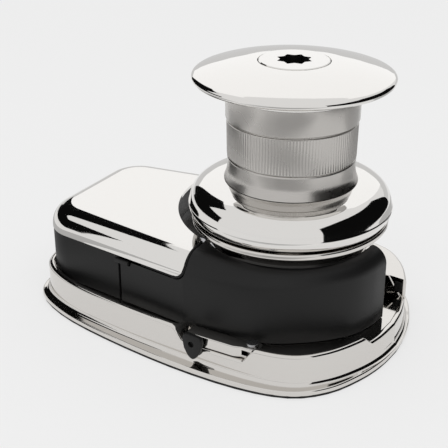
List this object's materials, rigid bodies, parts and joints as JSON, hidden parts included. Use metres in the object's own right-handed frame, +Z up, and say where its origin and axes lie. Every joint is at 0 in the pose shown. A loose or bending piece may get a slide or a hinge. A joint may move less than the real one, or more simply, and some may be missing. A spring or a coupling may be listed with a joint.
{
  "type": "vertical anchor windlass",
  "caption": "Vertical anchor windlass: warping drum over a chain wheel, on a low polished base with a chain-pipe cover, black guard and side lever.",
  "frame": {"origin": "middle of the base's outline, on the deck plane under the gasket", "axes": "+X along the base towards the bow end where the drum stands, +Z up along the drum axis"},
  "size_m": [0.2801, 0.1944, 0.1996],
  "materials": {
    "chromed_bronze": "polished",
    "polished_stainless": "mirror polished",
    "turned_steel": "turned",
    "bronze": "turned",
    "black_moulding": "satin",
    "black_rubber": "matt"
  },
  "bodies": {
    "base_assembly": {"base": "chromed_bronze", "base_gasket": "black_rubber", "surround": "black_moulding", "guard": "black_moulding", "chain_pipe": "turned_steel", "chain_stripper": "turned_steel", "stripper_screw": "turned_steel", "bow_guide_block": "black_moulding", "counter_sensor": "black_moulding", "lower_bearing": "turned_steel", "upper_bearing": "turned_steel", "oil_seal": "black_rubber", "pawl_pin": "turned_steel", "pawl_spring": "turned_steel", "guard_screw_1": "turned_steel", "guard_screw_2": "turned_steel", "guard_screw_3": "turned_steel", "surround_screw_1": "turned_steel", "surround_screw_2": "turned_steel", "surround_screw_3": "turned_steel", "deck_insert_1": "bronze", "deck_insert_2": "bronze", "deck_insert_3": "bronze", "deck_insert_4": "bronze"},
    "drive_shaft": {"main_shaft": "turned_steel", "lower_clutch_cone": "bronze", "upper_clutch_cone": "bronze", "cone_key": "turned_steel", "drum_key": "turned_steel", "drum_lower_flange": "polished_stainless", "drum_barrel": "polished_stainless", "drum_top_flange": "polished_stainless", "drum_screw_1": "turned_steel", "drum_screw_2": "turned_steel", "drum_screw_3": "turned_steel", "cap_dowel_1": "turned_steel", "cap_dowel_2": "turned_steel", "cap_dowel_3": "turned_steel"},
    "chain_wheel": {"chain_wheel": "chromed_bronze", "chain_wheel_bush": "bronze", "counter_magnet": "black_rubber"},
    "nut_carrier": {"thrust_washer": "turned_steel"},
    "clutch_nut": {"clutch_nut": "polished_stainless", "nut_o_ring": "black_rubber"},
    "lid": {"chain_pipe_lid": "polished_stainless", "lid_seal": "black_rubber"},
    "pawl": {"pawl_lever": "chromed_bronze", "pawl_tab": "black_moulding"}
  },
  "joints": [
    {"name": "shaft_spin", "type": "hinge", "parent": "base_assembly", "child": "drive_shaft", "pos_m": [0.053, 0, 0.1], "axis": [0, 0, 1], "continuous": true},
    {"name": "chain_wheel_spin", "type": "hinge", "parent": "drive_shaft", "child": "chain_wheel", "pos_m": [0.053, 0, 0.06], "axis": [0, 0, 1], "continuous": true},
    {"name": "nut_lift", "type": "slide", "parent": "drive_shaft", "child": "nut_carrier", "axis": [0, 0, 1], "range_m": [0, 0.0016]},
    {"name": "nut_turn", "type": "hinge", "parent": "nut_carrier", "child": "clutch_nut", "pos_m": [0.053, 0, 0.19], "axis": [0, 0, 1], "range_deg": [0, 360]},
    {"name": "lid_slide", "type": "slide", "parent": "base_assembly", "child": "lid", "axis": [-1, 0, 0], "range_m": [0, 0.06]},
    {"name": "pawl_swing", "type": "hinge", "parent": "base_assembly", "child": "pawl", "pos_m": [0.0665, -0.079, 0.022], "axis": [0, 0, 1], "range_deg": [0, 9], "stiffness_Nm_per_rad": 0.15, "springref_deg": -20.05}
  ],
  "couplings": [
    {"joint": "nut_lift", "follows": "nut_turn", "m_per_rad": 0.00023873}
  ]
}
